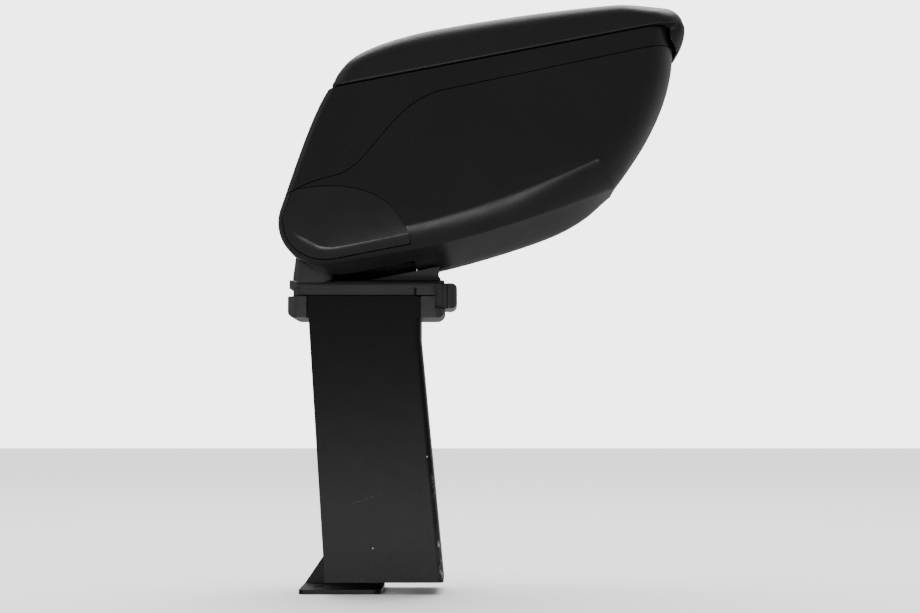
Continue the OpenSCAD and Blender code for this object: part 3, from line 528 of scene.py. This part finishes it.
# The body's form at a depth under its skin; over lifts its two upper ends, and a ridge makes it a cap's form
def bodyLoft(name, form, depth, over=0.0, ridge=False):
    path, index = bodyOutline(form)
    normals = outward(path)

    def along(table, reach):
        return softened([lookup(u, table) for u in index], reach)

    rear, heel, keel, bow, bowDepth = [form[key] for key in
                                       ("rearRound", "heelRound", "keelRound", "bow", "bowDepth")]
    take = along([(0, rear), (7, rear), (13, heel), (18, keel), (28, bow - 2), (37, bow)], 5)
    deep = along([(0, rear), (7, rear), (13, heel - 2), (18, 12), (23, 13), (25, 20), (28, 34),
                  (32, bowDepth - 6), (37, bowDepth)], 6)
    tight = 1 + form["pinch"]
    crisp = tight + (capForm["ridge"] if ridge else 0)
    pinch = along([(0, 1), (7, 1), (11, tight), (16.2, tight), (17.8, crisp), (26, tight), (32, 1), (37, 1)], 4)
    if ridge:  # a cap stands a little proud of the body along its foot
        small = along([(13, 1), (17, capForm["roll"]), (19, capForm["roll"]), (22, 1)], 4)
        take = [v * s for v, s in zip(take, small)]
        deep = [v * (0.4 + 0.6 * s) for v, s in zip(deep, small)]

    # the belly hangs under the middle of the keel, and its share of the full depth fades towards the nose
    hangs = [(-0.11, 0), (0.04, 1), (0.75, 0.97), (0.81, 0.92), (0.87, 0.79), (0.93, 0.55), (0.965, 0.34), (1, 0)]
    noseLow = form["front"] - form["noseLow"][0]
    drop = softened([0 if p[1] > -12 else form["belly"] * lookup(p[0] / noseLow, hangs) for p in path], 4)
    edge = form["keelSoftness"]

    def swell(i, y, reach):
        share = max(0.0, 1 - (math.hypot(y, edge) - edge) / max(1.0, math.hypot(reach, edge) - edge))
        return -drop[i] * share

    side = inset(path, normals, depth)
    side[0] = (side[0][0], side[0][1] + over)
    side[-1] = (side[-1][0], side[-1][1] + over)
    return loftForm(name, side, [n * (t - depth) for n, t in zip(normals, take)], [t - depth for t in deep],
                    form["width"] - 2 * depth, form["rolls"], form["middles"], swell, pinch)


seamLine = (bezier((-40, 15), (-14, 29.5), (4, 31.5), (20, 32), 24)
            + bezier((20, 32), (47, 32.5), (70, 79.5), (112, 80), 48) + [(112, 80), (315, 83.6)])
capTop = (bezier((-40, 25), (20, 33), (60, 17), (capForm["front"], -23), 56) + [(capForm["front"], -23)])


# All that is more than a gap below the seam, or above it
def belowSeam(gap):
    return bar("belowSeam", [(u, w - gap) for u, w in seamLine] + [(320, -90), (-60, -90), (-60, 10)], 180)


def aboveSeam(gap):
    return bar("aboveSeam", [(u, w + gap) for u, w in seamLine] + [(320, 150), (-60, 150), (-60, 19)], 180)


# The outline of a pivot cap, grown by a margin, as a bar through one side of the body
def capBar(form, cap, side, grow):
    path = bodyOutline(form)[0]
    rim = bar("capRim", inset(path, outward(path), cap["rim"] - grow), 260)
    foot, front = cap["footRise"] - form["keel"], cap["front"]
    top = bar("capTop", [(u, w + grow) for u, w in capTop]
              + [(front + grow, foot + 4), (front - 0.9 + grow, foot + 1.4), (front - 3.1 + grow, foot - grow),
                 (-40, foot - grow)], 260)
    near, far = cap["side"]
    edge = [(u, w - cap["seamDrop"] + grow / 2) for u, w in seamLine[:-1]]
    seam = bar("capSeam", edge + [(295, -60), (-40, -60)], far - near, side * (near + far) / 2)
    cut(seam, top, "INTERSECT")
    return cut(seam, rim, "INTERSECT")


def makeBody(form, cap):
    skin = bodyLoft("skin", form, 0.0)
    cut(skin, bodyLoft("room", form, form["wall"], 1.0))
    # the lower half carries a lip inside the seam, so no daylight comes through
    half, lip = form["seamGap"] / 2, form["seamLip"]
    lower = cut(copyOf(skin, "lowerBody"), belowSeam(-lip), "INTERSECT")
    cut(lower, cut(aboveSeam(-half), bodyLoft("lipCore", form, form["wall"] - 1.2, 2.0)))
    upper = cut(skin, aboveSeam(half), "INTERSECT")
    cut(upper, cut(belowSeam(-lip - 0.5), bodyLoft("lipRoom", form, form["wall"] - 1.5, 2.0), "INTERSECT"))
    upper.name = "upperBody"
    # the slot for the pivot tower, and its square front
    r, slotEnd = form["slotRadius"], form["slotEnd"]
    cut(lower, bar("slot", [(0, 0)] + arc(r, 132, slotEnd, 12) + [turned(r, slotEnd)], form["slotWidth"]))
    cut(lower, bar("slotFront", [(-5, -63), (r, -63), (r, -29), (-5, -29)], form["slotWidth"]))
    for side in (-1, 1):
        seat = capBar(form, cap, side, cap["gap"])
        cut(lower, cut(seat, bodyLoft("core", form, cap["thick"] + cap["seatGap"], 1.0)))
        inner, outer = form["boss"]
        cut(lower, crossCylinder("boss", 0, 0, form["bossRadius"], side * inner, side * outer), "UNION")
    return lower, upper


def makeCap(form, cap, side, name):
    solid = bodyLoft(name, form, 0.0, ridge=True)
    cut(solid, capBar(form, cap, side, 0.0), "INTERSECT")
    return cut(solid, bodyLoft("room", form, cap["thick"]))


# The body's hinge knuckles stand on a web inside the rear wall
def hingeKnuckles(form, upper):
    u, w = form["pin"]
    length = form["length"]
    for k in (-2, 0, 2):
        web = bar("web", [(u - 4, w), (u + 4, w), (u + 3, w - 9), (24.6, 86.5), (22.8, 91.3), (27.6, 96.8)],
                  length, k * length)
        cut(web, crossCylinder("knuckle", u, w, form["radius"], (k - 0.5) * length, (k + 0.5) * length), "UNION")
        cut(upper, web, "UNION")
    for k in (-1, 1):
        cut(upper, crossCylinder("clear", u, w, form["radius"] + form["clear"], (k - 0.5) * length,
                                 (k + 0.5) * length))
    cut(upper, crossCylinder("pinHole", u, w, form["pinHole"], -60, 60))


lowerBody, upperBody = makeBody(bodyForm, capForm)
print("body made")
nearCap = makeCap(bodyForm, capForm, -1, "nearCap")
farCap = makeCap(bodyForm, capForm, 1, "farCap")
hingeKnuckles(hingeForm, upperBody)
for obj, material, slot, node in (
        (lowerBody, plastics["bodyPlastic"], "body_skin", "lower_shell"),
        (upperBody, plastics["bodyPlastic"], "body_skin", "upper_shell"),
        (nearCap, plastics["capPlastic"], "cap_plastic", "near_pivot_cap"),
        (farCap, plastics["capPlastic"], "cap_plastic", "far_pivot_cap")):
    place(obj)
    smooth(obj, 40)
    finish(obj, "arm", material, slot, node)
print("caps made")

lidForm = {
    "width": 132, "back": 29.2, "z": 98.5, "height": 28.8, "nose": 306.5, "crown": 3.0, "rearIn": 12,
    "sideShare": 0.4, "sideRoll": 11, "noseBlend": 56, "lipWidth": 100, "lipDepth": 18.7, "voxel": 1.5,
    "relax": 6, "density": 6,
}


# The padded top: up the nose, back along the crown and down to the hinge
def lidLoft(form, bow, bowDepth):
    z, nose, back, top = form["z"], form["nose"], form["back"], form["z"] + form["height"]
    k = form["density"]
    path = (bezier((nose - 0.8, z), (nose + 1.4, z + 5), (nose - 1.4, z + 11.5), (nose - 9, z + 14.6), 5 * k)
            + bezier((nose - 9, z + 14.6), (nose - 42, z + 22), (nose - 110, z + 27.8), (116, top), 8 * k)
            + bezier((116, top), (85, top), (52, top - 4), (back + 12, z + 14.5), 6 * k)
            + bezier((back + 12, z + 14.5), (back + 6, z + 10.5), (back + 2, z + 5), (back, z), 4 * k)
            + [(back, z)])
    share = [soft((p[0] - nose + form["noseBlend"]) / form["noseBlend"]) for p in path]
    take = [Vector((bow * s - form["rearIn"] * (1 - soft((p[0] - back) / 30)), form["sideShare"] * (p[1] - z)))
            for p, s in zip(path, share)]
    deep = [form["sideRoll"] + (bowDepth - form["sideRoll"]) * s for s in share]

    def swell(i, y, reach):
        return form["crown"] * (path[i][1] - z) / form["height"] * (1 - (2 * y / form["width"]) ** 2)

    return loftForm("paddedLid", path, take, deep, form["width"], 12, 11, swell)


def fingerLip(form, bow, bowDepth):
    front, z = form["nose"] - 0.3, form["z"]
    tip = z - form["lipDepth"]
    path = (bezier((front - 9, z + 1), (front - 9.4, z - 5), (front - 10, z - 9), (front - 11.2, tip + 0.8), 12)
            + bezier((front - 11.2, tip + 0.8), (front - 11.4, tip), (front - 10.8, tip - 0.3),
                     (front - 10, tip + 0.3), 4)
            + bezier((front - 10, tip + 0.3), (front - 5, tip + 5), (front - 0.4, tip + 12), (front, z + 1), 18)
            + [(front, z + 1)])
    narrow = form["lipWidth"] / 2 - form["width"] / 2 + bowDepth
    lipBow = bow * (1 - math.sqrt(1 - (narrow / bowDepth) ** 2))
    take = [Vector((lipBow, -0.45 * (z + 1 - p[1]))) for p in path]
    return loftForm("lip", path, take, [narrow] * len(path), form["lipWidth"], 12, 3)


def makeLid(form, body, hinge):
    lid = lidLoft(form, body["bow"], body["bowDepth"])
    cut(lid, fingerLip(form, body["bow"], body["bowDepth"]), "UNION")
    applyModifier(lid, "REMESH", mode="VOXEL", voxel_size=form["voxel"])
    applyModifier(lid, "SMOOTH", factor=0.5, iterations=form["relax"])
    # a groove over the hinge
    u, w = hinge["pin"]
    cut(lid, crossCylinder("groove", u, w, hinge["radius"] + hinge["groove"], -50.5, 50.5))
    cut(lid, bar("grooveFoot", [(form["back"] - 3, form["z"] - 1), (u + 4.6, form["z"] - 1), (u + 4.6, w),
                                (form["back"] - 3, w)], 101))
    return lid


paddedLid = makeLid(lidForm, bodyForm, hingeForm)
place(paddedLid)
smooth(paddedLid, 50)
finish(paddedLid, "lid", plastics["lidVinyl"], "lid_skin", "lid_cover")
print("lid made")

# The CAD pieces that stay take their finishes
keptFinishes = {
    "collar_screws": zinc, "button_spring": spring, "pivot_bushes": nylon, "rest_pad": rubber, "pivot_bolt": zinc,
    "pivot_washers": zinc, "pivot_nut": zinc, "tray_screws": zinc, "tray_mat": rubber, "lid_buffers": rubber,
    "lid_hinge_pin": zinc, "lid_screws": zinc,
}
for node, material in keptFinishes.items():
    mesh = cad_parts[node].data
    mesh.materials.clear()
    mesh.materials.append(material)

# A pale floor, and a white surround that lights the armrest less than it shows
studio = {
    "floor": (0.9, 0.9, 0.9), "floorSize": 12.0, "bright": 4.2, "dim": 0.47,
    "topBox": {"location": (0.1, 0.5, 1.7), "target": (0.1, 0, 0.2), "size": (1.6, 1.2), "power": 20},
    "lowBox": {"location": (0.08, -0.46, 0.012), "target": (0.1, -0.05, 0.3), "size": (0.6, 0.12), "power": 3.6},
    "leftBox": {"location": (-1.4, -0.5, 0.9), "target": (0.0, 0, 0.25), "size": (0.8, 1.2), "power": 4},
    "skyPower": 5.0, "skyAngle": 70, "skyTilt": (-18, 6),
}


def makeSurround(values):
    bpy.ops.mesh.primitive_grid_add(x_subdivisions=2, y_subdivisions=2, size=values["floorSize"])
    floor = bpy.context.object
    floor.name = "studioFloor"
    floor.data.materials.append(newMaterial("paleFloor", values["floor"], 0.6, 0.1)[0])
    floor.visible_glossy = False  # keeps the glossy undersides dark
    world = bpy.data.worlds.new("studio")
    world.use_nodes = True
    bpy.context.scene.world = world
    nodes, links = world.node_tree.nodes, world.node_tree.links
    back = nodes["Background"]
    back.inputs["Color"].default_value = (1, 1, 1, 1)
    seen = nodes.new("ShaderNodeLightPath")
    spread = nodes.new("ShaderNodeMapRange")
    spread.inputs["To Min"].default_value, spread.inputs["To Max"].default_value = values["dim"], values["bright"]
    links.new(seen.outputs["Is Camera Ray"], spread.inputs["Value"])
    links.new(spread.outputs[0], back.inputs["Strength"])


def softbox(name, location, target, size, power, glossOnly=False):
    data = bpy.data.lights.new(name, "AREA")
    data.shape, data.size, data.size_y, data.energy = "RECTANGLE", size[0], size[1], power
    turn = (Vector(target) - Vector(location)).to_track_quat("-Z", "Y").to_euler()
    lamp = addObject(name, data, location, turn)
    lamp.visible_camera, lamp.visible_diffuse = False, not glossOnly


makeSurround(studio)
softbox("topBox", **studio["topBox"])
softbox("lowBox", **studio["lowBox"], glossOnly=True)
softbox("leftBox", **studio["leftBox"])
skyData = bpy.data.lights.new("skyLamp", "SUN")
skyData.energy, skyData.angle = studio["skyPower"], math.radians(studio["skyAngle"])
addObject("skyLamp", skyData, rotation=[math.radians(angle) for angle in studio["skyTilt"]] + [0])

# At the photograph's angle
camera = {"location": (0.0910, -1.300, 0.1337), "pitch": 93.82, "lens": 65.11, "sensor": 36.0}
cameraData = bpy.data.cameras.new("camera")
cameraData.lens, cameraData.sensor_width = camera["lens"], camera["sensor"]
bpy.context.scene.camera = addObject("camera", cameraData, camera["location"],
                                     (math.radians(camera["pitch"]), 0, 0))

print("scene made")
